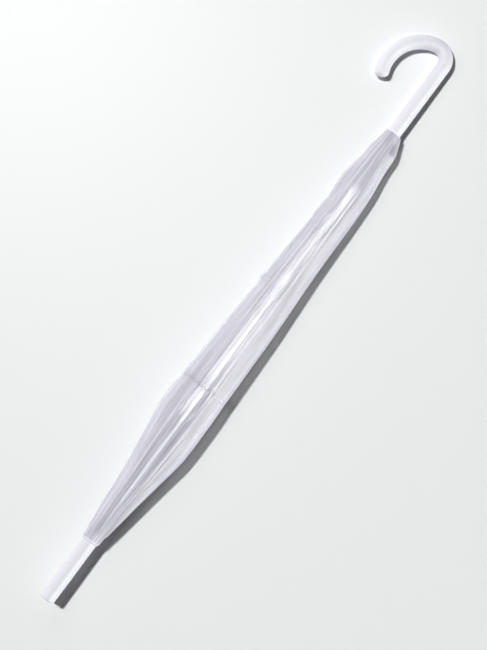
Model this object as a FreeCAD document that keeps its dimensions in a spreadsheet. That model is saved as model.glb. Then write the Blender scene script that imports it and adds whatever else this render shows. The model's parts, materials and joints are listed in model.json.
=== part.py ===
"""A stick umbrella with a clear film canopy, furled and lying on its side on a flat surface.

Every sub-part is built in the shaft's own frame: +X runs along the shaft from the ferrule's tip to
the crook, +Y points to the side that the crook curls towards and +Z points up.  One placement then
lays the whole umbrella down, so that the canopy's widest place and the crook rest on the surface.
Lengths are in millimetres and angles in degrees.
"""

import FreeCAD, Part
import math
import os

import Sketcher

from FreeCAD import Placement, Rotation, Vector

RIBS = 8
GORE_DEG = 360.0 / RIBS

DIMENSIONS = [
    # how the umbrella lies
    ("lie_tilt", 1.165, "slope of the shaft down towards the crook"),
    ("frame_x", -450.82, "frame origin to the ferrule's tip"),
    ("frame_y", -19.05, "frame origin to the shaft's axis"),
    ("frame_z", 27.745, "height of the ferrule's tip above the surface"),
    # shaft and ferrule
    ("shaft_r", 5.0, "shaft tube, outside radius"),
    ("shaft_bore_r", 4.3, "shaft tube, inside radius"),
    ("shaft_start", 12.0, "start of the shaft inside the ferrule"),
    ("shaft_end", 800.0, "end of the shaft inside the handle"),
    ("ferrule_r", 10.4, "ferrule radius"),
    ("ferrule_len", 95.0, "ferrule length"),
    ("ferrule_round", 1.6, "rounding of the ferrule's end"),
    ("cap_r", 12.0, "canopy cap radius"),
    ("cap_len", 3.2, "canopy cap thickness"),
    # crown and runner
    ("crown_x", 110.0, "place of the ribs' pivot ring along the shaft"),
    ("pivot_r", 7.8, "radius of both pivot rings"),
    ("ring_wire_r", 0.6, "radius of the pivot rings' wire"),
    ("flange_r", 10.2, "radius of the slotted flanges"),
    ("hub_r", 6.0, "radius of the crown's hub"),
    ("hub_len", 28.0, "length of the crown's hub"),
    ("slot_w", 2.0, "width of the rib and stretcher slots"),
    ("slot_floor_r", 5.8, "radius at the bottom of those slots"),
    ("runner_bore_r", 5.08, "bore of the runner"),
    ("runner_sleeve_r", 6.9, "radius of the runner's grip sleeve"),
    ("runner_len", 58.0, "runner, from its pivot ring to its lower end"),
    ("keyway_w", 2.1, "width of the runner's keyway"),
    ("keyway_r", 6.95, "radius at the bottom of the runner's keyway"),
    ("stop_x", 222.0, "place of the runner stop"),
    ("stop_len", 4.0, "length of the runner stop"),
    ("stop_r", 6.1, "radius of the runner stop"),
    # ribs and stretchers
    ("arm", 215.0, "rib pivot to stretcher pivot, and the stretcher's own length"),
    ("closed_angle", 1.6, "angle of the arms to the shaft when furled"),
    ("rib_r", 1.5, "rib rod radius"),
    ("stretcher_r", 1.2, "stretcher rod radius"),
    ("lug_drop", 3.1, "stretcher pivot below the rib's centre line"),
    ("tab_t", 1.4, "thickness of the flattened pivot ends"),
    ("eye_r", 0.68, "radius of the pivot eyes"),
    ("flex_x", 350.0, "place of the rib's flex joint along the shaft"),
    ("tip_x", 746.0, "place of the rib's end along the shaft"),
    ("tip_r", 7.5, "distance of the rib's end from the shaft's axis"),
    ("tip_cap_r", 2.2, "radius of the rib's tip cap"),
    ("tip_cap_len", 14.0, "length of the rib's tip cap"),
    # catches
    ("catch_w", 1.6, "width of a catch's nub"),
    ("catch_len", 7.0, "length of a catch's nub"),
    ("catch_top_r", 6.8, "how far a nub stands from the shaft's axis"),
    ("leaf_len", 26.0, "length of a catch's leaf"),
    ("top_catch_x", 291.0, "place of the catch that holds the umbrella open"),
    ("low_catch_x", 527.0, "place of the catch that holds the umbrella shut"),
    # handle
    ("handle_r", 9.6, "handle radius"),
    ("handle_start", 757.0, "lower end of the handle"),
    ("bend_start", 873.3, "start of the crook's bend"),
    ("bend_tight_r", 19.1, "radius of the crook's first, tight bend"),
    ("bend_tight_deg", 100.0, "turn of the first bend"),
    ("bend_wide_r", 52.0, "radius of the crook's second, wide bend"),
    ("bend_wide_deg", 110.0, "turn of the second bend"),
    ("handle_round", 6.5, "rounding of the crook's end"),
    ("collar_r", 10.6, "collar radius"),
    ("collar_len", 5.0, "collar length"),
    # canopy
    ("film_t", 0.6, "thickness of the canopy solids"),
    ("elbow_gap", 4.0, "gap between a gore's upper and lower fields, across the flex joints"),
    ("film_gap", 0.35, "gap left between neighbouring canopy solids"),
    ("neck_start", 98.6, "upper edge of the canopy's fixed neck"),
    ("neck_end", 108.4, "lower edge of the neck"),
    ("canopy_start", 115.5, "upper edge of the moving gores"),
    ("canopy_end", 756.0, "lower edge of the canopy"),
    # closure strap
    ("strap_root_x", 640.0, "sewn end of the strap along the shaft"),
    ("strap_len", 135.0, "length of the strap"),
    ("strap_w", 12.0, "width of the strap"),
    ("strap_t", 0.8, "thickness of the strap"),
    ("strap_lift", 0.7, "gap between the strap and the canopy"),
    ("snap_r", 5.0, "radius of the snap fastener"),
    ("snap_t", 1.8, "thickness of the snap fastener"),
]
DIM = {alias: value for alias, value, _ in DIMENSIONS}

# The furled canopy's outline: place along the shaft, then its reach to the left (+Y), to the
# right (-Y), up and down.
OUTLINE = [
    (98.6, 13.2, 13.2, 13.0, 13.0),
    (155.0, 18.8, 21.0, 17.5, 16.5),
    (208.0, 23.5, 29.5, 22.0, 19.5),
    (250.0, 29.4, 36.2, 26.0, 21.6),
    (307.0, 37.0, 36.8, 29.5, 21.5),
    (350.0, 34.8, 35.8, 28.5, 20.5),
    (450.0, 30.0, 34.2, 25.5, 18.4),
    (550.0, 23.8, 30.2, 22.0, 16.3),
    (645.0, 20.6, 28.6, 19.5, 14.3),
    (680.0, 23.2, 27.0, 19.0, 13.6),
    (725.0, 16.7, 21.8, 15.5, 12.7),
    (756.0, 11.6, 13.6, 12.0, 11.4),
]

doc = FreeCAD.newDocument("umbrella")
sheet = doc.addObject("Spreadsheet::Sheet", "dims")
for row, (alias, value, meaning) in enumerate(DIMENSIONS, start=1):
    sheet.set(f"A{row}", meaning)
    sheet.set(f"B{row}", str(value))
    sheet.setAlias(f"B{row}", alias)
doc.recompute()

LIE = Placement(
    Vector(DIM["frame_x"], DIM["frame_y"], DIM["frame_z"]),
    Rotation(Vector(0, 1, 0), DIM["lie_tilt"]),
)
PARTS = {}  # label -> (document object, placement in the shaft's frame)


# ------------------------------------------------------------------ geometry of the linkage


def rib_azimuth(k):
    """Direction of rib k round the shaft, in degrees from +Y towards +Z."""
    return GORE_DEG * (k + 0.5)


def radial_frame(azimuth):
    """Placement that turns a shape drawn in the XZ plane, with +Z outwards, to an azimuth."""
    return Placement(Vector(0, 0, 0), Rotation(Vector(1, 0, 0), azimuth - 90.0))


def linkage():
    """The furled linkage in one radial plane: points (x, r) of each pivot and rib corner."""
    shut = math.radians(DIM["closed_angle"])
    crown = (DIM["crown_x"], DIM["pivot_r"])
    lug = (crown[0] + DIM["arm"] * math.cos(shut), crown[1] + DIM["arm"] * math.sin(shut))
    runner = (crown[0] + 2 * DIM["arm"] * math.cos(shut), DIM["pivot_r"])
    slope = (lug[1] + DIM["lug_drop"] - crown[1]) / (lug[0] - crown[0])
    flex = (DIM["flex_x"], crown[1] + slope * (DIM["flex_x"] - crown[0]))
    tip = (DIM["tip_x"], DIM["tip_r"])
    return {"crown": crown, "lug": lug, "runner": runner, "flex": flex, "tip": tip}


def distance(a, b):
    return math.hypot(b[0] - a[0], b[1] - a[1])


def along(a, b):
    """Placement in the XZ plane at point a with its own +X towards point b."""
    climb = math.degrees(math.atan2(b[1] - a[1], b[0] - a[0]))
    return Placement(Vector(a[0], 0, a[1]), Rotation(Vector(0, 1, 0), -climb))


def outline_at(x):
    """The canopy outline's four reaches (left, right, up, down) at a place along the shaft."""
    for low, high in zip(OUTLINE, OUTLINE[1:]):
        if x <= high[0]:
            share = (x - low[0]) / (high[0] - low[0])
            return [p + (q - p) * share for p, q in zip(low[1:], high[1:])]
    return list(OUTLINE[-1][1:])


def canopy_radius(x, azimuth):
    """Distance from the shaft's axis to the furled canopy's outside: a quarter ellipse each way."""
    left, right, up, down = outline_at(x)
    c, s = math.cos(math.radians(azimuth)), math.sin(math.radians(azimuth))
    wide = left if c >= 0 else right
    tall = up if s >= 0 else down
    return 1.0 / math.hypot(c / wide, s / tall)


# ------------------------------------------------------------------ building blocks


def keep(label, obj, place=Placement()):
    """Registers obj as the sub-part called label, placed in the shaft's frame."""
    obj.Label = label
    PARTS[label] = (obj, place)
    return obj


def bind(obj, **cells):
    """Binds properties of obj to expressions over the spreadsheet."""
    for prop, expression in cells.items():
        obj.setExpression(prop, expression)
    return obj


def origin_plane(body, role):
    return next(f for f in body.Origin.OriginFeatures if f.Role == role)


def sketch_on(body, name, role, offset=Placement()):
    sketch = body.newObject("Sketcher::SketchObject", name)
    sketch.AttachmentSupport = [(origin_plane(body, role), "")]
    sketch.MapMode = "FlatFace"
    sketch.AttachmentOffset = offset
    return sketch


def value_of(expression):
    """The value in millimetres of aliases and numbers that are joined by + and -."""
    total, sign = 0.0, 1.0
    plain = expression.replace("dims.", "")
    for token in plain.replace("+", " + ").replace("-", " - ").split():
        if token in "+-":
            sign = 1.0 if token == "+" else -1.0
        else:
            total += sign * (DIM[token] if token in DIM else float(token))
    return total


def revolved(name, corners):
    """A body turned round the shaft's axis from a closed outline of (place, radius) expressions."""
    body = doc.addObject("PartDesign::Body", name + "_body")
    sketch = sketch_on(body, name + "_outline", "XY_Plane")
    points = [Vector(value_of(x), value_of(r), 0) for x, r in corners]
    count = len(points)
    for i in range(count):
        sketch.addGeometry(Part.LineSegment(points[i], points[(i + 1) % count]), False)
    for i in range(count):
        sketch.addConstraint(Sketcher.Constraint("Coincident", i, 2, (i + 1) % count, 1))
    for i, (x, r) in enumerate(corners):
        for kind, expression, value, axis in (
            ("DistanceX", x, points[i].x, -2),
            ("DistanceY", r, points[i].y, -1),
        ):
            if abs(value) < 1e-9:
                sketch.addConstraint(Sketcher.Constraint("PointOnObject", i, 1, axis))
                continue
            number = sketch.addConstraint(Sketcher.Constraint(kind, -1, 1, i, 1, value))
            sketch.setExpression(f"Constraints[{number}]", expression)
    turn = body.newObject("PartDesign::Revolution", name + "_turn")
    turn.Profile = sketch
    turn.ReferenceAxis = (sketch, ["H_Axis"])
    turn.Angle = 360.0
    doc.recompute()
    return body


def rod(name, radius, start, length, place):
    """A round rod along place's +X, from start for a length."""
    bar = doc.addObject("Part::Cylinder", name)
    bind(bar, Radius=f"dims.{radius}")
    bar.Height = length
    bar.Placement = place * Placement(Vector(start, 0, 0), Rotation(Vector(0, 1, 0), 90))
    return bar


def pin(name, radius, width, place):
    """A round pin, or the disc of a pivot end, across the radial plane at place's origin."""
    bar = doc.addObject("Part::Cylinder", name)
    bar.Radius = radius
    bar.Height = width
    bar.Placement = place * Placement(Vector(0, width / 2, 0), Rotation(Vector(1, 0, 0), 90))
    return bar


def plate(name, start, end, low, high, width, place, side=0.0):
    """A plate in the radial plane: from start to end along, low to high across, width thick."""
    box = doc.addObject("Part::Box", name)
    box.Length, box.Width, box.Height = end - start, width, high - low
    box.Placement = place * Placement(Vector(start, side - width / 2, low), Rotation())
    return box


def fused(name, pieces):
    whole = doc.addObject("Part::MultiFuse", name)
    whole.Shapes = pieces
    return whole


def cut(name, base, tool):
    left = doc.addObject("Part::Cut", name)
    left.Base, left.Tool = base, tool
    return left


def grouped(name, pieces):
    """Separate solids that share one node."""
    group = doc.addObject("Part::Compound", name)
    group.Links = pieces
    return group


# ------------------------------------------------------------------ shaft, ferrule and fixed parts

EAR_IN = 0.8  # inner face of a clevis ear from the radial plane
EAR_T = 0.7  # thickness of a clevis ear
LUG_HALF = 2.0  # half length of the lug's ears along the rib
LUG_BELOW = 1.7  # how far the lug's ears reach below the pivot
END_GAP = 4.0  # where a rod starts, from the pivot that it is hung on


def make_ferrule():
    body = revolved(
        "ferrule",
        [
            ("0", "0"),
            ("0", "dims.ferrule_r-dims.ferrule_round"),
            ("dims.ferrule_round", "dims.ferrule_r"),
            ("dims.ferrule_len", "dims.ferrule_r"),
            ("dims.ferrule_len", "dims.shaft_r"),
            ("dims.shaft_start", "dims.shaft_r"),
            ("dims.shaft_start", "0"),
        ],
    )
    keep("ferrule", body)


def make_canopy_cap():
    start, end = "dims.ferrule_len", "dims.ferrule_len+dims.cap_len"
    body = revolved(
        "canopy_cap",
        [
            (start, "dims.shaft_r"),
            (start, "dims.cap_r-1.2"),
            (start + "+1.2", "dims.cap_r"),
            (end, "dims.cap_r"),
            (end, "dims.shaft_r"),
        ],
    )
    keep("canopy_cap", body)


def make_shaft():
    tube = revolved(
        "shaft_tube",
        [
            ("dims.shaft_start", "dims.shaft_bore_r"),
            ("dims.shaft_start", "dims.shaft_r"),
            ("dims.shaft_end", "dims.shaft_r"),
            ("dims.shaft_end", "dims.shaft_bore_r"),
        ],
    )
    slots = []
    for name in ("top_catch", "low_catch"):
        start = DIM[name + "_x"]
        slots.append(
            plate(
                name + "_slot",
                start - 0.5,
                start + DIM["catch_len"] + 0.5,
                DIM["shaft_bore_r"] / 2,
                DIM["shaft_r"] + 1,
                DIM["catch_w"] + 0.4,
                Placement(),
            )
        )
    keep("shaft_tube", cut("shaft_slotted", tube, fused("shaft_slots", slots)))


def flange_slots(name, pivot_x, outwards):
    """The tools that cut a flange's slots; outwards is +1 or -1, the side on which they open."""
    near = pivot_x - outwards * 2.4
    far = pivot_x + outwards * 12.0
    tools = []
    for k in range(RIBS):
        tools.append(
            plate(
                f"{name}_slot_{k + 1}",
                min(near, far),
                max(near, far),
                DIM["slot_floor_r"],
                DIM["flange_r"] + 2,
                DIM["slot_w"],
                radial_frame(rib_azimuth(k)),
            )
        )
    return tools


def ring_channel(name, pivot_x):
    """The channel that a pivot ring's wire lies in."""
    channel = doc.addObject("Part::Torus", name)
    bind(channel, Radius1="dims.pivot_r", Radius2="dims.ring_wire_r + 0.05")
    channel.Placement = Placement(Vector(pivot_x, 0, 0), Rotation(Vector(0, 1, 0), 90))
    return channel


def make_pivot_ring(label, pivot_x):
    ring = doc.addObject("Part::Torus", label + "_wire")
    bind(ring, Radius1="dims.pivot_r", Radius2="dims.ring_wire_r")
    keep(label, ring, Placement(Vector(pivot_x, 0, 0), Rotation(Vector(0, 1, 0), 90)))


def make_crown():
    start = "dims.ferrule_len+dims.cap_len"
    blank = revolved(
        "crown_blank",
        [
            (start, "dims.shaft_r"),
            (start, "dims.hub_r+1.5"),
            ("dims.crown_x-5", "dims.flange_r"),
            ("dims.crown_x+2.6", "dims.flange_r"),
            ("dims.crown_x+2.6", "dims.hub_r"),
            (start + "+dims.hub_len", "dims.hub_r"),
            (start + "+dims.hub_len", "dims.shaft_r"),
        ],
    )
    tools = flange_slots("crown", DIM["crown_x"], 1)
    tools.append(ring_channel("crown_channel", DIM["crown_x"]))
    keep("crown_notch", cut("crown_cut", blank, fused("crown_tools", tools)))
    make_pivot_ring("crown_ring", DIM["crown_x"])


def make_runner():
    pivot_x = linkage()["runner"][0]
    body = doc.addObject("PartDesign::Body", "runner_body")
    outline = [
        (pivot_x - 4.0, DIM["runner_bore_r"]),
        (pivot_x - 4.0, 5.65),
        (pivot_x - 2.6, 5.65),
        (pivot_x - 2.6, DIM["flange_r"]),
        (pivot_x + 4.0, DIM["flange_r"]),
        (pivot_x + 7.0, DIM["runner_sleeve_r"]),
        (pivot_x + DIM["runner_len"], DIM["runner_sleeve_r"]),
        (pivot_x + DIM["runner_len"], DIM["runner_bore_r"]),
    ]
    sketch = sketch_on(body, "runner_outline", "XY_Plane")
    points = [Vector(x, r, 0) for x, r in outline]
    for i, point in enumerate(points):
        sketch.addGeometry(Part.LineSegment(point, points[(i + 1) % len(points)]), False)
    turn = body.newObject("PartDesign::Revolution", "runner_turn")
    turn.Profile = sketch
    turn.ReferenceAxis = (sketch, ["H_Axis"])
    turn.Angle = 360.0
    doc.recompute()
    tools = flange_slots("runner", pivot_x, -1)
    tools.append(ring_channel("runner_channel", pivot_x))
    keyway = plate(
        "runner_keyway",
        pivot_x - 6,
        pivot_x + DIM["runner_len"] + 2,
        DIM["shaft_bore_r"],
        DIM["keyway_r"],
        DIM["keyway_w"],
        Placement(),
    )
    tools.append(keyway)
    keep("runner", cut("runner_cut", body, fused("runner_tools", tools)))
    make_pivot_ring("runner_ring", pivot_x)


def make_runner_stop():
    body = revolved(
        "runner_stop",
        [
            ("dims.stop_x", "dims.shaft_r"),
            ("dims.stop_x", "dims.stop_r"),
            ("dims.stop_x+dims.stop_len", "dims.stop_r"),
            ("dims.stop_x+dims.stop_len", "dims.shaft_r"),
        ],
    )
    keep("runner_stop", body)


def make_catch(label, start):
    """A spring leaf inside the shaft with the nub that a thumb presses."""
    leaf_top = DIM["shaft_bore_r"] - 0.3
    leaf = plate(
        label + "_leaf",
        start - 3.0,
        start - 3.0 + DIM["leaf_len"],
        leaf_top - 0.6,
        leaf_top,
        DIM["catch_w"],
        Placement(),
    )
    nub = plate(
        label + "_nub",
        start,
        start + DIM["catch_len"],
        leaf_top - 0.6,
        DIM["catch_top_r"],
        DIM["catch_w"],
        Placement(),
    )
    keep(label, fused(label + "_spring", [leaf, nub]))


# ------------------------------------------------------------------ handle


def crook_path():
    """The crook's centre line in the XY plane: a straight run and two tangent arcs."""

    def on_arc(centre, radius, heading):
        turn = math.radians(heading)
        return centre + Vector(radius * math.sin(turn), -radius * math.cos(turn), 0)

    tight_r, wide_r = DIM["bend_tight_r"], DIM["bend_wide_r"]
    first, last = DIM["bend_tight_deg"], DIM["bend_tight_deg"] + DIM["bend_wide_deg"]
    tight = Vector(DIM["bend_start"], tight_r, 0)
    joint = on_arc(tight, tight_r, first)
    wide = joint - (on_arc(Vector(), wide_r, first))
    return [
        Part.LineSegment(Vector(DIM["handle_start"], 0, 0), Vector(DIM["bend_start"], 0, 0)),
        Part.Arc(Vector(DIM["bend_start"], 0, 0), on_arc(tight, tight_r, first / 2), joint),
        Part.Arc(joint, on_arc(wide, wide_r, (first + last) / 2), on_arc(wide, wide_r, last)),
    ]


def make_handle():
    body = doc.addObject("PartDesign::Body", "handle_body")
    spine = sketch_on(body, "handle_spine", "XY_Plane")
    for curve in crook_path():
        spine.addGeometry(curve, False)
    offset = Placement(Vector(0, 0, DIM["handle_start"]), Rotation())
    section = sketch_on(body, "handle_section", "YZ_Plane", offset)
    section.addGeometry(Part.Circle(Vector(), Vector(0, 0, 1), DIM["handle_r"]), False)
    pipe = body.newObject("PartDesign::AdditivePipe", "handle_pipe")
    pipe.Profile = section
    pipe.Spine = spine
    doc.recompute()
    bore = sketch_on(body, "handle_bore", "YZ_Plane", offset)
    bore.addGeometry(Part.Circle(Vector(), Vector(0, 0, 1), DIM["shaft_r"]), False)
    pocket = body.newObject("PartDesign::Pocket", "handle_socket")
    pocket.Profile = bore
    pocket.Length = DIM["shaft_end"] - DIM["handle_start"]
    pocket.Reversed = True
    doc.recompute()
    end = crook_path()[-1].EndPoint
    rims = [
        f"Edge{i}"
        for i, edge in enumerate(pocket.Shape.Edges, start=1)
        if edge.CenterOfMass.distanceToPoint(end) < 1.0 and edge.isClosed()
    ]
    rounding = body.newObject("PartDesign::Fillet", "handle_end_rounding")
    rounding.Base = (pocket, rims)
    rounding.setExpression("Radius", "dims.handle_round")
    doc.recompute()
    keep("crook_handle", body)


def make_collar():
    start = "dims.handle_start-dims.collar_len"
    body = revolved(
        "handle_collar",
        [
            (start, "dims.shaft_r"),
            (start, "dims.collar_r-1.5"),
            (start + "+1.5", "dims.collar_r"),
            ("dims.handle_start", "dims.collar_r"),
            ("dims.handle_start", "dims.shaft_r"),
        ],
    )
    keep("handle_collar", body)


# ------------------------------------------------------------------ ribs and stretchers


def pivot_end(name, place, reach, disc_r, thickness):
    """A flattened rod end: a disc round the pivot and a tab that runs into the rod."""
    disc = pin(name + "_disc", disc_r, thickness, place)
    tab = plate(name + "_tab", 0, reach, -1.15, 1.15, thickness, place)
    return [disc, tab]


def make_rib(k):
    """The rib's upper part: crown eye, rod, stretcher lug with its rivet, and flex eye."""
    points = linkage()
    name = f"rib_{k + 1}"
    length = distance(points["crown"], points["flex"])
    line = along(points["crown"], points["flex"])
    back = along(points["flex"], points["crown"])
    lug_at = Placement(Vector(points["lug"][0], 0, points["lug"][1]), line.Rotation)
    pieces = pivot_end(name + "_root", line, 9.0, 1.8, DIM["tab_t"])
    pieces.append(rod(name + "_rod", "rib_r", 6.0, length - 6.0 - END_GAP, line))
    for side, word in ((1, "left"), (-1, "right")):
        pieces.append(
            plate(
                f"{name}_ear_{word}",
                -LUG_HALF,
                LUG_HALF,
                -LUG_BELOW,
                DIM["lug_drop"],
                EAR_T,
                lug_at,
                side * (EAR_IN + EAR_T / 2),
            )
        )
    pieces += pivot_end(name + "_flex", back, 7.0, 1.4, 1.2)
    solid = fused(name + "_blank", pieces)
    eyes = [
        pin(name + "_root_eye", DIM["eye_r"], 6.0, line),
        pin(name + "_flex_eye", DIM["eye_r"], 6.0, back),
    ]
    rivet = pin(name + "_rivet", DIM["ring_wire_r"], 2 * (EAR_IN + EAR_T), lug_at)
    bored = cut(name + "_bored", solid, fused(name + "_eyes", eyes))
    keep(name, fused(name + "_rib", [bored, rivet]), radial_frame(rib_azimuth(k)))


def make_rib_end(k):
    """The rib's lower part: flex fork with its pin, rod, and the tip cap pushed on its end."""
    points = linkage()
    name = f"rib_end_{k + 1}"
    length = distance(points["flex"], points["tip"])
    line = along(points["flex"], points["tip"])
    cap_len = DIM["tip_cap_len"]
    pieces = [rod(name + "_rod", "rib_r", END_GAP, length - END_GAP, line)]
    for side, word in ((1, "left"), (-1, "right")):
        middle = side * (EAR_IN + EAR_T / 2)
        turned = line * Placement(Vector(0, middle, 0), Rotation())
        pieces.append(pin(f"{name}_ear_{word}", 1.4, EAR_T, turned))
        pieces.append(
            plate(f"{name}_cheek_{word}", 0, END_GAP + 3, -1.15, 1.15, EAR_T, line, middle)
        )
    pieces.append(pin(name + "_pin", DIM["ring_wire_r"], 2 * (EAR_IN + EAR_T), line))
    solid = fused(name + "_solid", pieces)
    start = length - cap_len + 2.0
    shell = rod(name + "_cap_shell", "tip_cap_r", start, cap_len, line)
    dome = doc.addObject("Part::Sphere", name + "_cap_dome")
    bind(dome, Radius="dims.tip_cap_r")
    dome.Placement = line * Placement(Vector(start + cap_len, 0, 0), Rotation())
    socket = rod(name + "_cap_socket", "rib_r", start - 1, length - start + 1, line)
    cap = cut(name + "_cap", fused(name + "_cap_blank", [shell, dome]), socket)
    keep(name, grouped(name + "_pair", [solid, cap]), radial_frame(rib_azimuth(k)))


def make_stretcher(k):
    """The stretcher: an eye for the rib's lug, a rod, and an eye for the runner's ring."""
    points = linkage()
    name = f"stretcher_{k + 1}"
    line = along(points["lug"], points["runner"])
    back = along(points["runner"], points["lug"])
    pieces = pivot_end(name + "_lug", line, 7.0, 1.35, DIM["tab_t"])
    pieces += pivot_end(name + "_foot", back, 9.0, 1.8, DIM["tab_t"])
    pieces.append(
        rod(name + "_rod", "stretcher_r", END_GAP, DIM["arm"] - END_GAP - 6.0, line)
    )
    eyes = [
        pin(name + "_lug_eye", DIM["eye_r"], 6.0, line),
        pin(name + "_foot_eye", DIM["eye_r"], 6.0, back),
    ]
    solid = cut(name + "_bored", fused(name + "_blank", pieces), fused(name + "_eyes", eyes))
    keep(name, solid, radial_frame(rib_azimuth(k)))


# ------------------------------------------------------------------ canopy


def on_canopy(x, azimuth, inset=0.0):
    radius = canopy_radius(x, azimuth) - inset
    turn = math.radians(azimuth)
    return Vector(x, radius * math.cos(turn), radius * math.sin(turn))


def canopy_section(x, first, last):
    """A closed wire across one gore's film at a place along the shaft."""
    trim = math.degrees(DIM["film_gap"] / 2 / canopy_radius(x, (first + last) / 2))
    first, last = first + trim, last - trim
    middle = (first + last) / 2
    outer = [on_canopy(x, azimuth) for azimuth in (first, middle, last)]
    inner = [on_canopy(x, azimuth, DIM["film_t"]) for azimuth in (last, middle, first)]
    edges = [
        Part.Arc(*outer).toShape(),
        Part.LineSegment(outer[-1], inner[0]).toShape(),
        Part.Arc(*inner).toShape(),
        Part.LineSegment(inner[-1], outer[0]).toShape(),
    ]
    return Part.Wire(edges)


def make_neck():
    """The film's gathered upper end, which the cap holds on the crown."""
    start, end = DIM["neck_start"], DIM["neck_end"]
    top, foot = outline_at(start)[2], outline_at(end)[2]
    skin = doc.addObject("Part::Cone", "neck_skin")
    hollow = doc.addObject("Part::Cone", "neck_hollow")
    for cone, wall in ((skin, 0.0), (hollow, DIM["film_t"])):
        cone.Radius1, cone.Radius2, cone.Height = top - wall, foot - wall, end - start
        cone.Placement = Placement(Vector(start, 0, 0), Rotation(Vector(0, 1, 0), 90))
    keep("canopy_neck", cut("neck_film", skin, hollow))


def make_gore(label, k, start, end):
    """One gore of the furled canopy between two places along the shaft, as a thin shell."""
    stations = [start] + [s[0] for s in OUTLINE if start < s[0] < end] + [end]
    first = rib_azimuth(k)
    wires = [canopy_section(x, first, first + GORE_DEG) for x in stations]
    gore = doc.addObject("Part::Feature", label + "_film")
    gore.Shape = Part.makeLoft(wires, True, True)
    keep(label, gore)


# ------------------------------------------------------------------ closure strap


def strap_place():
    """The strap's root on the canopy's left side, with +X along the strap and +Z upwards."""
    root = DIM["strap_root_x"]
    free = root - DIM["strap_len"]
    near = Vector(root, outline_at(root)[0] + DIM["strap_lift"], 0)
    far = Vector(free, outline_at(free)[0] + DIM["strap_lift"], 0)
    turn = math.degrees(math.atan2(far.y - near.y, far.x - near.x))
    return Placement(near, Rotation(Vector(0, 0, 1), turn))


def make_strap():
    """The strap's band, with the rounded free end, and the snap fastener's cap on it."""
    place = strap_place()
    half = DIM["strap_w"] / 2
    band = doc.addObject("Part::Box", "strap_band")
    bind(band, Height="dims.strap_w", Width="dims.strap_t")
    band.Length = DIM["strap_len"] - half
    band.Placement = place * Placement(Vector(0, -DIM["strap_t"], -half), Rotation())
    tip = doc.addObject("Part::Cylinder", "strap_tip")
    bind(tip, Height="dims.strap_t")
    tip.Radius = half
    side = Rotation(Vector(1, 0, 0), 90)
    tip.Placement = place * Placement(Vector(DIM["strap_len"] - half, 0, 0), side)
    keep("closure_strap", fused("strap_whole", [band, tip]))
    snap = doc.addObject("Part::Cylinder", "snap_disc")
    bind(snap, Radius="dims.snap_r", Height="dims.snap_t")
    face = Vector(DIM["strap_len"] - half - 1.0, -DIM["strap_t"], 0)
    keep("strap_snap", snap, place * Placement(face, side))


# ------------------------------------------------------------------ assembly


def build():
    make_ferrule()
    make_canopy_cap()
    make_shaft()
    make_crown()
    make_runner()
    make_runner_stop()
    make_catch("top_catch", DIM["top_catch_x"])
    make_catch("low_catch", DIM["low_catch_x"])
    make_handle()
    make_collar()
    make_neck()
    half_gap = DIM["elbow_gap"] / 2
    for k in range(RIBS):
        make_rib(k)
        make_rib_end(k)
        make_stretcher(k)
        make_gore(f"gore_upper_{k + 1}", k, DIM["canopy_start"], DIM["flex_x"] - half_gap)
        make_gore(f"gore_lower_{k + 1}", k, DIM["flex_x"] + half_gap, DIM["canopy_end"])
    make_strap()
    doc.recompute()
    for obj, place in PARTS.values():
        obj.Placement = LIE * place


def check():
    failed = [o.Name for o in doc.Objects if {"Invalid", "Error"} & set(o.State)]
    for label, (obj, _) in PARTS.items():
        shape = obj.Shape
        if shape.isNull() or not shape.isValid() or not shape.Solids:
            failed.append(label)
    if failed:
        raise RuntimeError("these objects failed: " + ", ".join(failed))


build()
check()
os.makedirs("parts", exist_ok=True)
for label, (obj, _) in PARTS.items():
    obj.Shape.exportStep(f"parts/{label}.step")
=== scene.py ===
"""Looks for the furled clear umbrella: its film, its materials, the table top, light and camera."""
import json
import math

import bpy
from mathutils import Matrix, Vector, noise


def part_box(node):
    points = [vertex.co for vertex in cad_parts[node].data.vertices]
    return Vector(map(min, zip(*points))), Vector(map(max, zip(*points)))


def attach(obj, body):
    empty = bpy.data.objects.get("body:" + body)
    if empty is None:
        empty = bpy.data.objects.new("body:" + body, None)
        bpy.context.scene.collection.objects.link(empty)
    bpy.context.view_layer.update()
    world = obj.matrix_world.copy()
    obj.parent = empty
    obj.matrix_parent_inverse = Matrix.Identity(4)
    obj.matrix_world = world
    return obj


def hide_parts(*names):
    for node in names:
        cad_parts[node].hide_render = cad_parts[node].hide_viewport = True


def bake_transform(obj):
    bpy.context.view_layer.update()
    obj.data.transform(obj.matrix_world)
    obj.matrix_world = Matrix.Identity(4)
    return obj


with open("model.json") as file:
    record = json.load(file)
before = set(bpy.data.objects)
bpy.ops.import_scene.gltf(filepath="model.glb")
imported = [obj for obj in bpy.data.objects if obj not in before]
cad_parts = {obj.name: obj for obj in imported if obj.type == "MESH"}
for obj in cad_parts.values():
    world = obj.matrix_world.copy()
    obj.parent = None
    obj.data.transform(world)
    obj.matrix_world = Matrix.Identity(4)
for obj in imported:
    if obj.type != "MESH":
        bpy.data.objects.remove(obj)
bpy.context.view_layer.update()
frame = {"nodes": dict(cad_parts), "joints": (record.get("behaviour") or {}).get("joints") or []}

# ------------------------------------------------------------------ the shaft's own frame

RIBS = 8
GORE = math.radians(360 / RIBS)

# Places along the shaft, in metres from the ferrule's tip.
CROWN_X = 0.110                             # the ribs' pivots
ELBOW_X = 0.350                             # the ribs' flex joints
NECK_START, NECK_LENGTH = 0.0984, 0.0142    # the gathered film between the cap and the ribs
FILM_START, FILM_END = 0.1115, 0.7640       # the gores
STRAP_ROOT_X = 0.640                        # the closure strap's fixed end

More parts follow.
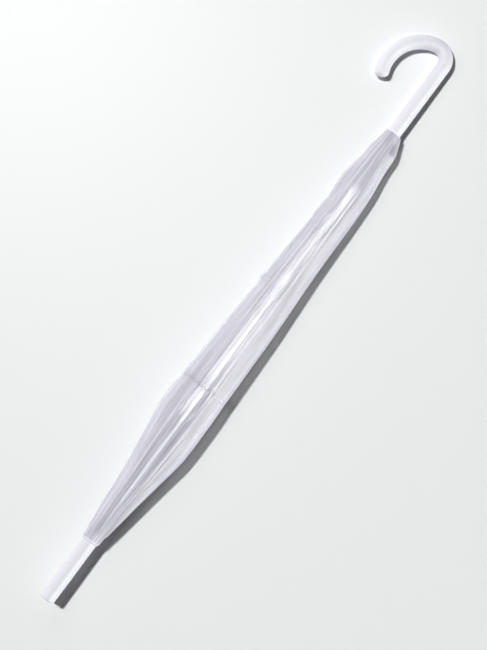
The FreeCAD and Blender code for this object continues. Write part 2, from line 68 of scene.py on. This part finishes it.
JOINTS = {joint["name"]: joint for joint in frame["joints"]}
UP = -Vector(JOINTS["top_catch_press"]["axis"]).normalized()
SIDE = Vector((0, 1, 0))
ALONG = SIDE.cross(UP)
PIVOTS = [Vector(JOINTS[f"rib_{k + 1}_hinge"]["pos_m"]) for k in range(RIBS)]
TIP = sum(PIVOTS, Vector()) / RIBS - ALONG * CROWN_X


def place(x, y, z):
    """A point given along, beside and above the shaft, in the frame that all the pieces share."""
    return TIP + ALONG * x + SIDE * y + UP * z


def polar(x, azimuth, radius):
    """A point given along and around the shaft: azimuth 0 is its left side, 90 degrees its top."""
    return place(x, radius * math.cos(azimuth), radius * math.sin(azimuth))


def smooth(t):
    t = min(max(t, 0.0), 1.0)
    return t * t * (3 - 2 * t)


def between(x, start, end):
    """0 before the start, 1 after the end, and a smooth rise between."""
    return smooth((x - start) / (end - start))


def hill(gap, width):
    """1 where the gap is 0, and close to 0 beyond twice the width."""
    return math.exp(-((gap / width) ** 2))


def spaced(start, end, steps):
    return [start + (end - start) * i / steps for i in range(steps + 1)]


# ------------------------------------------------------------------ the furled film's shape

# The film's reach in millimetres: place along the shaft, then left, right, up and down.
OUTLINE = [
    (98.6, 13.2, 13.2, 13.0, 13.0),
    (155.0, 18.8, 21.0, 17.5, 16.5),
    (208.0, 23.5, 29.5, 22.0, 19.5),
    (250.0, 29.4, 36.2, 26.0, 21.6),
    (307.0, 37.0, 36.8, 29.5, 21.5),
    (350.0, 34.8, 35.8, 28.5, 20.5),
    (450.0, 30.0, 34.2, 25.5, 18.4),
    (550.0, 23.8, 30.2, 22.0, 16.3),
    (645.0, 20.6, 28.6, 19.5, 14.3),
    (680.0, 23.2, 27.0, 19.0, 13.6),
    (715.0, 17.6, 22.8, 16.4, 12.8),
    (738.0, 15.4, 21.4, 14.6, 12.3),
    (752.0, 12.0, 16.6, 12.2, 11.7),
    (764.5, 10.9, 11.2, 11.1, 11.0),
]

# Places along the shaft where the film's relief begins, changes and ends.
RELIEF_START, RELIEF_FULL = 0.100, 0.145
PLEATS_FADE, FOLDS_FULL = 0.235, 0.355
GATHERS_START, GATHERS_FULL = 0.675, 0.705
HEM_START = 0.714

# Fine pleats at the crown: how many, their depth in millimetres, their lean and their turn.
PLEATS = [(23, 0.55, 1.0, 0.0), (37, 0.3, 1.4, 0.3)]

# Long folds of the loose film below the ribs' elbows: azimuth and width in degrees, then depth in
# millimetres.
LONG_FOLDS = [
    (10, 14, 0.4), (36, 11, 0.2), (61, 6, 1.0), (111, 6, 1.2), (144, 11, 0.15), (168, 12, 0.4),
    (196, 12, 1.0), (228, 12, 1.2), (262, 12, 0.7), (296, 12, 1.1), (330, 12, 0.9),
]

# Soft dents beside the top: place along the shaft, spread, azimuth in degrees, then depth in
# millimetres.
DENTS = [
    (0.425, 0.030, 108, 0.9), (0.475, 0.020, 112, 0.7), (0.570, 0.034, 111, 1.1),
    (0.650, 0.020, 74, 0.6),
]
DENT_WIDTH = 7

# Places along the shaft where the top of the film is rumpled, and how far each spreads.
RUMPLES = [(0.351, 0.020), (0.492, 0.024), (0.622, 0.030), (0.690, 0.013)]
CREST, CREST_WIDTH, FLAT_WIDTH = 88, 20, 12     # the top line of the film, in degrees of azimuth


def reach(x):
    """The four reaches at a place along the shaft, in metres, on a curve through the outline."""
    mm = min(max(x * 1000, OUTLINE[0][0]), OUTLINE[-1][0])
    i = max(j for j in range(len(OUTLINE) - 1) if OUTLINE[j][0] <= mm)
    a, b = OUTLINE[max(i - 1, 0)], OUTLINE[i]
    c, d = OUTLINE[i + 1], OUTLINE[min(i + 2, len(OUTLINE) - 1)]
    span = c[0] - b[0]
    t = (mm - b[0]) / span
    out = []
    for n in range(1, 5):
        slope_b = (c[n] - a[n]) / (c[0] - a[0]) * span
        slope_c = (d[n] - b[n]) / (d[0] - b[0]) * span
        value = (
            (2 * t**3 - 3 * t**2 + 1) * b[n]
            + (t**3 - 2 * t**2 + t) * slope_b
            + (-2 * t**3 + 3 * t**2) * c[n]
            + (t**3 - t**2) * slope_c
        )
        out.append(value / 1000)
    return out


def outline(x, azimuth):
    """The radius of the film without its relief, from four quarters of an ellipse."""
    left, right, up, down = reach(x)
    c, s = math.cos(azimuth), math.sin(azimuth)
    return 1.0 / math.hypot(c / (left if c >= 0 else right), s / (up if s >= 0 else down))


def crease(t, sharpness=0.6):
    """Rounded crests at 1 and sharp valleys at 0, once per unit of t."""
    return abs(math.sin(math.pi * t)) ** sharpness


def around(x, azimuth, along, across, seed):
    """Noise on the film that joins up all the way round, from about -1 to 1."""
    return noise.noise(
        Vector((x * along + seed, across * math.cos(azimuth), across * math.sin(azimuth) + seed))
    )


def pleat_depth(x, azimuth):
    """The crown's fine pleats, in millimetres."""
    turns = math.degrees(azimuth) % 360 / 360
    drift = 0.7 * around(x, azimuth, 5.0, 0.9, 3.1)
    return sum(
        depth * (1 - crease(turns * count + lean * drift + turn))
        for count, depth, lean, turn in PLEATS
    )


def long_fold_depth(x, degrees):
    """The long folds, in millimetres: each sways and swells a little along the shaft."""
    total = 0.0
    for i, (centre, width, depth) in enumerate(LONG_FOLDS):
        sway = 5.0 * noise.noise(Vector((x * 5.0, i * 3.7, 0.5)))
        swell = 0.75 + 0.5 * noise.noise(Vector((x * 8.0, i * 1.9, 7.5)))
        gap = (degrees - centre - sway + 180) % 360 - 180
        total += depth * swell * hill(gap, width)
    return total


def fold_depth(x, azimuth):
    """How far the film lies inside its outline: fine pleats at the crown, long folds below."""
    degrees = math.degrees(azimuth) % 360
    near_crown = 1 - between(x, PLEATS_FADE, FOLDS_FULL)
    hem = 1 - 0.85 * between(x, HEM_START, FILM_END)
    crest = hill(degrees - CREST, CREST_WIDTH)
    rumpled = sum(hill(x - centre, spread) for centre, spread in RUMPLES)
    crinkle = (0.3 + 0.15 * crest) * abs(around(x, azimuth, 30.0, 3.4, 11.0))
    crinkle += (0.06 + (0.10 + 1.3 * rumpled) * crest) * abs(around(x, azimuth, 100.0, 7.0, 2.0))
    gathers = 0.5 * between(x, GATHERS_START, GATHERS_FULL)
    gathers *= abs(around(x, azimuth, 150.0, 3.0, 6.0))
    flattened = 0.24 * hill(degrees - CREST, FLAT_WIDTH)
    dents = sum(
        depth * hill(x - centre, spread) * hill(degrees - dent_azimuth, DENT_WIDTH)
        for centre, spread, dent_azimuth, depth in DENTS
    )
    folds = long_fold_depth(x, degrees)
    loose = (folds + crinkle + gathers + flattened + dents) * hem * (1 - near_crown)
    pleats = pleat_depth(x, azimuth) * (0.04 + 0.96 * near_crown)
    return 0.001 * between(x, RELIEF_START, RELIEF_FULL) * (pleats + loose)


# ------------------------------------------------------------------ materials

FLAT_MAP = "flat_film"      # each film piece's places on the film before it was gathered
HAZE_SHARE = "haze_share"   # how much of the film's haze a point has, where two pieces overlap


def add(tree, kind, **inputs):
    """A new node, with some of its inputs set: an underscore stands for a space."""
    node = tree.nodes.new(kind)
    for key, value in inputs.items():
        node.inputs[key.replace("_", " ")].default_value = value
    return node


def new_material(name, **inputs):
    """A material with nothing but a Principled shader in it."""
    material = bpy.data.materials.new(name)
    material.use_nodes = True
    tree = material.node_tree
    tree.nodes.clear()
    out = add(tree, "ShaderNodeOutputMaterial")
    shader = add(tree, "ShaderNodeBsdfPrincipled", **inputs)
    tree.links.new(shader.outputs["BSDF"], out.inputs["Surface"])
    return material, tree, shader


def add_noise(tree, vector, **inputs):
    node = add(tree, "ShaderNodeTexNoise", **inputs)
    if vector is not None:
        tree.links.new(vector, node.inputs["Vector"])
    return node.outputs["Fac"]


def add_range(tree, value, start, end, low, high):
    """Turns start to end of a value into low to high."""
    node = add(
        tree, "ShaderNodeMapRange", From_Min=start, From_Max=end, To_Min=low, To_Max=high
    )
    tree.links.new(value, node.inputs["Value"])
    return node.outputs["Result"]


def add_tones(tree, value, start, end, dark, light):
    """A colour that goes from dark to light as a value goes from start to end."""
    node = add(tree, "ShaderNodeValToRGB")
    elements = node.color_ramp.elements
    elements[0].position, elements[1].position = start, end
    elements[0].color, elements[1].color = (*dark, 1), (*light, 1)
    tree.links.new(value, node.inputs["Fac"])
    return node.outputs["Color"]


def add_product(tree, first, second):
    node = add(tree, "ShaderNodeMath")
    node.operation = "MULTIPLY"
    tree.links.new(first, node.inputs[0])
    tree.links.new(second, node.inputs[1])
    return node.outputs["Value"]


def add_stretch(tree, vector, along):
    """A map on which patterns are drawn out along the shaft."""
    node = add(tree, "ShaderNodeMapping", Scale=(1.0, along, 1.0))
    tree.links.new(vector, node.inputs["Vector"])
    return node.outputs["Vector"]


def add_bump(tree, height, shader, strength, distance):
    node = add(tree, "ShaderNodeBump", Strength=strength, Distance=distance)
    tree.links.new(height, node.inputs["Height"])
    tree.links.new(node.outputs["Normal"], shader.inputs["Normal"])


def moulded(name, colour, roughness, coat, scale=60.0, metallic=0.0):
    """Moulded plastic or coated metal with faint mottling and fine surface ripples."""
    material, tree, shader = new_material(
        name, Metallic=metallic, Coat_Weight=coat, Coat_Roughness=0.12
    )
    where = add(tree, "ShaderNodeTexCoord").outputs["Object"]
    mottle = add_noise(tree, where, Scale=scale, Detail=3.0)
    fine = add_noise(tree, where, Scale=scale * 12, Detail=2.0)
    tones = add_tones(tree, mottle, 0.3, 0.7, [c * 0.955 for c in colour], colour)
    spread = add_range(tree, fine, 0.0, 1.0, roughness - 0.05, roughness + 0.06)
    tree.links.new(tones, shader.inputs["Base Color"])
    tree.links.new(spread, shader.inputs["Roughness"])
    add_bump(tree, fine, shader, 0.06, 0.0004)
    return material


def film(name, colour, haze, roughness):
    """Clear soft film: part open, part milky, glossy, with streaks along the shaft and painted
    shade in the crown's pleat valleys.
    """
    material, tree, shader = new_material(
        name, Roughness=roughness, Coat_Weight=0.5, Coat_Roughness=0.08, IOR=1.5
    )
    where = add(tree, "ShaderNodeUVMap")
    where.uv_map = FLAT_MAP
    flat = where.outputs["UV"]
    stretched = add_stretch(tree, flat, 0.10)
    streaks = add_noise(tree, stretched, Scale=110.0, Detail=2.0, Roughness=0.5)
    cloud = add_noise(tree, stretched, Scale=60.0, Detail=3.0)
    tones = add_tones(tree, streaks, 0.32, 0.68, [c * 0.88 for c in colour], colour)

    # Painted shade: fine darker lines near the crown, standing in for the shade in the valleys of
    # the gathered film's pleats.
    fine = add_noise(tree, add_stretch(tree, flat, 0.035), Scale=430.0, Detail=1.0)
    parts = add(tree, "ShaderNodeSeparateXYZ")
    tree.links.new(flat, parts.inputs["Vector"])
    near_crown = add_range(tree, parts.outputs["Y"], 0.13, 0.30, 0.75, 0.0)
    pleat_valley_shade = add_product(tree, add_range(tree, fine, 0.45, 0.7, 0.0, 1.0), near_crown)
    shade = add(tree, "ShaderNodeMix")
    shade.data_type = "RGBA"
    colours = {socket.identifier: socket for socket in shade.inputs}
    tree.links.new(pleat_valley_shade, shade.inputs["Factor"])
    tree.links.new(tones, colours["A_Color"])
    # The painted shade's colour: the film's own colour darkened.
    colours["B_Color"].default_value = (*(c * 0.72 for c in colour), 1)
    mixed = {socket.identifier: socket for socket in shade.outputs}["Result_Color"]
    tree.links.new(mixed, shader.inputs["Base Color"])

    share = add(tree, "ShaderNodeAttribute")
    share.attribute_name = HAZE_SHARE
    hazy = add_range(tree, streaks, 0.3, 0.7, haze - 0.07, haze + 0.07)
    alpha = add_product(tree, hazy, share.outputs["Fac"])
    tree.links.new(alpha, shader.inputs["Alpha"])
    add_bump(tree, cloud, shader, 0.25, 0.0008)
    return material


HAZE = 0.60                 # how much of the light the canopy's film stops

WHITE = moulded("milky_plastic", (0.755, 0.75, 0.812), 0.46, 0.06)
COATED = moulded("coated_steel", (0.80, 0.80, 0.84), 0.30, 0.2, 90.0)
PLATED = moulded("plated_steel", (0.74, 0.75, 0.78), 0.32, 0.0, 35.0, metallic=0.85)
FILM = film("canopy_film", (0.70, 0.69, 0.775), HAZE, 0.13)
STRAP = film("strap_film", (0.80, 0.79, 0.86), 0.45, 0.10)
SNAP = moulded("clear_moulding", (0.84, 0.84, 0.88), 0.16, 0.5, 120.0)

CAD_MATERIALS = {
    WHITE: ["ferrule", "canopy_cap", "crook_handle", "handle_collar", "runner", "crown_notch"],
    PLATED: ["shaft_tube", "crown_ring", "runner_ring", "runner_stop", "top_catch", "low_catch"],
    COATED: [f"{part}_{k + 1}" for part in ("rib", "rib_end", "stretcher") for k in range(RIBS)],
}
for material, nodes in CAD_MATERIALS.items():
    for node in nodes:
        for slot in frame["nodes"][node].material_slots:
            slot.material = material

# ------------------------------------------------------------------ the film

FILM_RADIUS = 0.028         # turns an azimuth into a width on the flat film
BLEND_HALF = 0.0035         # half width of the closely spaced strip in the middle of each gore
SEAM = 0.0035               # how far a gore's second edge passes its rib
SEAM_UNDER = 0.2            # the first edge's share of that
LAP, LAP_UNDER = 0.0009, 0.0004     # how far a gore's edges stand out and in where they lap
TUCK, TUCK_RUN = 0.00025, 0.012     # how far the upper film goes under the lower, and its slope
STRIP_COLUMNS, EDGE_COLUMNS = 26, 13
UPPER_ROWS, OVERLAP_ROWS, LOWER_ROWS = 56, 8, 106
FLEX_RADIUS = 0.018         # how far the ribs' flex joints are from the shaft's middle
HALF_BEND = math.radians(21.6)      # half of the flex joints' turn when the umbrella is open
OVERLAP_MIN = 0.0015        # half of the overlap that is there without any bend


def mesh_piece(name, grid, material, flat=None, shares=None):
    """A smooth surface from rows of points.  Film also has each point's place when it is flat."""
    mesh = bpy.data.meshes.new(name)
    width = len(grid[0])
    points = [point for row in grid for point in row]
    faces = [
        (r * width + c, r * width + c + 1, (r + 1) * width + c + 1, (r + 1) * width + c)
        for r in range(len(grid) - 1)
        for c in range(width - 1)
    ]
    mesh.from_pydata(points, [], faces)
    mesh.polygons.foreach_set("use_smooth", [True] * len(mesh.polygons))
    if flat:
        flat_places = [flat_place for row in flat for flat_place in row]
        layer = mesh.uv_layers.new(name=FLAT_MAP)
        for loop in mesh.loops:
            layer.data[loop.index].uv = flat_places[loop.vertex_index]
        row_shares = shares or [1.0] * len(grid)
        haze = mesh.attributes.new(name=HAZE_SHARE, type="FLOAT", domain="POINT")
        haze.data.foreach_set("value", [share for share in row_shares for _ in range(width)])
    piece = bpy.data.objects.new(name, mesh)
    bpy.context.scene.collection.objects.link(piece)
    mesh.materials.append(material)
    return piece


def strip_offsets():
    """Offsets across the strip, closer together in its middle than at its edges."""
    out = []
    for i in range(STRIP_COLUMNS + 1):
        share = i / STRIP_COLUMNS
        t = 0.5 - math.sin(math.asin(1 - 2 * share) / 3)
        out.append(BLEND_HALF * (2 * t - 1))
    return out


def gore_columns(x, k):
    """Azimuths across gore k at a place along the shaft, from its first rib to its second."""
    middle = GORE * (k + 1)
    radius = outline(x, middle)
    first = -GORE / 2 - SEAM / radius * SEAM_UNDER
    last = GORE / 2 + SEAM / radius
    inner = [math.asin(offset / radius) for offset in strip_offsets()]
    left = spaced(first, inner[0], EDGE_COLUMNS)[:-1]
    right = spaced(inner[-1], last, EDGE_COLUMNS)[1:]
    return [middle + a for a in left + inner + right]


def film_radius(x, azimuth, k):
    """Radius of gore k's film: its second edge laps over the next gore's first."""
    across = (azimuth - GORE * (k + 1)) / (GORE / 2)
    lap = LAP * between(across, 0.55, 1.0) - LAP_UNDER * between(-across, 0.7, 1.0)
    return outline(x, azimuth) - fold_depth(x, azimuth) + lap * between(x, 0.10, 0.15)


def haze_share(row, across):
    """The two films' shares of the haze across their overlap: it stays about as milky all over."""
    if row == "upper":
        return (1 - across) * (1 + 0.8 * across)
    return min(across * (1.4 - 0.4 * across) / (1 - HAZE * (1 - across)), 1.0)


def gore_piece(k, row, mitre):
    """One gore's film on one side of the ribs' elbows, where it overlaps the other side's."""
    near, far = ELBOW_X - mitre, ELBOW_X + mitre
    overlap = spaced(near, far, OVERLAP_ROWS)
    if row == "upper":
        stations = spaced(FILM_START, near, UPPER_ROWS)[:-1] + overlap
    else:
        stations = overlap + spaced(far, FILM_END, LOWER_ROWS)[1:]
    grid, flat, shares = [], [], []
    for x in stations:
        columns = gore_columns(x, k)
        tuck = TUCK * between(x, near - TUCK_RUN, near) if row == "upper" else 0.0
        grid.append([polar(x, a, film_radius(x, a, k) - tuck) for a in columns])
        flat.append([(FILM_RADIUS * a, x) for a in columns])
        shares.append(haze_share(row, min(max((x - near) / (far - near), 0.0), 1.0)))
    return mesh_piece(f"film_{row}_{k + 1}", grid, FILM, flat, shares)


def make_gores():
    for k in range(RIBS):
        middle = GORE * (k + 1)
        reach_out = outline(ELBOW_X, middle) - FLEX_RADIUS
        mitre = max(reach_out, 0.002) * math.tan(HALF_BEND) + OVERLAP_MIN
        for row, length, parent in (
            ("upper", ELBOW_X + mitre - FILM_START, f"rib_{k + 1}"),
            ("lower", FILM_END - ELBOW_X + mitre, f"rib_end_{k + 1}"),
        ):
            piece = gore_piece(k, row, mitre)
            node = f"gore_{row}_{k + 1}"
            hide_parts(node)
            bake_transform(piece)


def make_neck():
    """The gathered film between the cap and the ribs."""
    rows, columns, pleats = 12, 192, 24
    grid, flat = [], []
    for i in range(rows + 1):
        x = NECK_START + NECK_LENGTH * i / rows
        ring = 0.0129 + 0.0011 * i / rows + 0.0005 * smooth(1 - i / 3)
        row = []
        for azimuth in spaced(0.0, 2 * math.pi, columns):
            lean = 0.3 * math.sin(3 * azimuth)
            pleat = 0.0009 * (1 - crease(pleats * azimuth / (2 * math.pi) + lean))
            row.append(polar(x, azimuth, ring - pleat))
        grid.append(row)
        flat.append([(FILM_RADIUS * a, x) for a in spaced(0.0, 2 * math.pi, columns)])
    piece = mesh_piece("film_neck", grid, FILM, flat)
    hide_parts("canopy_neck")
    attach(piece, "stick")


make_gores()
make_neck()

# ------------------------------------------------------------------ closure strap


def make_strap():
    """A welded band with a rounded end, lying along the film."""
    half, length, lift = 0.006, 0.135, 0.0011
    grid, flat = [], []
    for run in spaced(0.0, length, 60):
        x = STRAP_ROOT_X - run
        left = length - run
        width = half if left > half else math.sqrt(max(half**2 - (half - left) ** 2, 1e-9))
        offsets = spaced(-width, width, 8)
        ripple = 0.0004 * math.sin(run * 70)
        grid.append([place(x, outline(x, 0.0) + lift + ripple - 20 * z * z, z) for z in offsets])
        flat.append([(z, x) for z in offsets])
    piece = mesh_piece("strap_band", grid, STRAP, flat)
    solid = piece.modifiers.new("thickness", "SOLIDIFY")
    solid.thickness = 0.0005
    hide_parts("closure_strap")
    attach(piece, "gore_lower_8")


def make_snap():
    """A press stud's cap with a rolled rim and a dimple."""
    low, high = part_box("strap_snap")
    centre = (Vector(low) + Vector(high)) / 2
    profile = [
        (0.0, 0.0003), (0.0012, 0.0003), (0.0018, 0.0008), (0.0030, 0.0009),
        (0.0040, 0.0006), (0.0046, 0.0009), (0.0050, 0.0004), (0.0050, -0.0007),
    ]
    turn = spaced(0.0, 2 * math.pi, 32)
    grid = [
        [centre + SIDE * height + (ALONG * math.cos(a) + UP * math.sin(a)) * radius for a in turn]
        for radius, height in profile
    ]
    piece = mesh_piece("snap_cap", grid, SNAP)
    piece.modifiers.new("round", "SUBSURF").render_levels = 1
    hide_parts("strap_snap")
    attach(piece, "gore_lower_8")


make_strap()
make_snap()

# ------------------------------------------------------------------ table top, light and camera

FLOOR_SIZE = 60.0           # wide enough that low views don't see past it
FLOOR_DARK, FLOOR_LIGHT = (0.842, 0.849, 0.848), (0.872, 0.880, 0.880)
WORLD_COLOUR, WORLD_STRENGTH = (0.97, 0.975, 1.0), 0.05
CANOPY_MIDDLE = (0.1, 0.0, 0.0)
CAMERA_PLACE = (-0.0073, -0.0110, 3.0)
CAMERA_TURN = math.radians(-53.3)   # the photo's shaft runs up and to the right
PICTURE_HEIGHT = 0.861      # how much of the table the picture shows from bottom to top


def make_floor():
    """A matte, pale table top with a hardly visible mottle."""
    bpy.ops.mesh.primitive_grid_add(x_subdivisions=20, y_subdivisions=20, size=FLOOR_SIZE)
    floor = bpy.context.object
    floor.name = "table_top"
    material, tree, shader = new_material("table_top", Roughness=0.9, Specular_IOR_Level=0.0)
    grain = add_noise(tree, None, Scale=3.0, Detail=2.0)
    tones = add_tones(tree, grain, 0.0, 1.0, FLOOR_DARK, FLOOR_LIGHT)
    tree.links.new(tones, shader.inputs["Base Color"])
    floor.data.materials.append(material)


def add_light(name, data, where, facing):
    """A light that faces one way, with its first side along the shaft."""
    light = bpy.data.objects.new(name, data)
    light.location = where
    across = Vector(facing).cross(Vector((1, 0, 0))).normalized()
    back = -Vector(facing).normalized()
    light.rotation_euler = Matrix((across.cross(back), across, back)).transposed().to_euler()
    bpy.context.scene.collection.objects.link(light)
    return light


def make_sun(name, towards, strength, angle, shadow=True):
    """A distant light from one side.  Without shadow it only fills, and doesn't bounce on."""
    data = bpy.data.lights.new(name, "SUN")
    data.energy, data.angle, data.use_shadow = strength, math.radians(angle), shadow
    light = add_light(name, data, (0, 0, 2), -Vector(towards))
    light.visible_glossy = False
    if not shadow:
        data.cycles.max_bounces = 0


def make_softbox(name, where, target, energy, length, width, reflections_only=True):
    """A softbox whose length runs along the shaft."""
    data = bpy.data.lights.new(name, "AREA")
    data.shape, data.energy, data.size, data.size_y = "RECTANGLE", energy, length, width
    light = add_light(name, data, where, Vector(target) - Vector(where))
    if reflections_only:
        light.visible_diffuse = light.visible_camera = False


def make_world():
    world = bpy.data.worlds.new("studio")
    world.use_nodes = True
    background = world.node_tree.nodes["Background"]
    background.inputs["Color"].default_value = (*WORLD_COLOUR, 1)
    background.inputs["Strength"].default_value = WORLD_STRENGTH
    bpy.context.scene.world = world


def make_camera():
    """Looks straight down on the table."""
    data = bpy.data.cameras.new("camera")
    camera = bpy.data.objects.new("camera", data)
    data.lens = data.sensor_width * CAMERA_PLACE[2] / PICTURE_HEIGHT
    data.dof.use_dof = False
    camera.location = CAMERA_PLACE
    camera.rotation_euler = (0, 0, CAMERA_TURN)
    bpy.context.scene.collection.objects.link(camera)
    bpy.context.scene.camera = camera


make_floor()
make_sun("key", (0.05, 0.45, 0.89), 3.0, 5.0)
make_sun("fill_right", (0.0, -0.99, -0.08), 3.1, 20.0, shadow=False)
make_sun("fill_left", (0.0, 0.99, -0.08), 0.35, 20.0, shadow=False)
make_softbox(
    "corner_glow", (0.22, 0.55, 0.6), (0.136, 0.405, 0.0), 1.0, 0.3, 0.3, reflections_only=False
)
make_softbox("streak_box", (0.13, 0.12, 1.7), CANOPY_MIDDLE, 22.0, 0.78, 1.0)
make_softbox("side_box", (0.1, -1.75, 1.0), CANOPY_MIDDLE, 92.0, 1.9, 2.3)
make_world()
make_camera()
bpy.context.scene.view_settings.view_transform = "Standard"
bpy.context.scene.cycles.transparent_max_bounces = 32
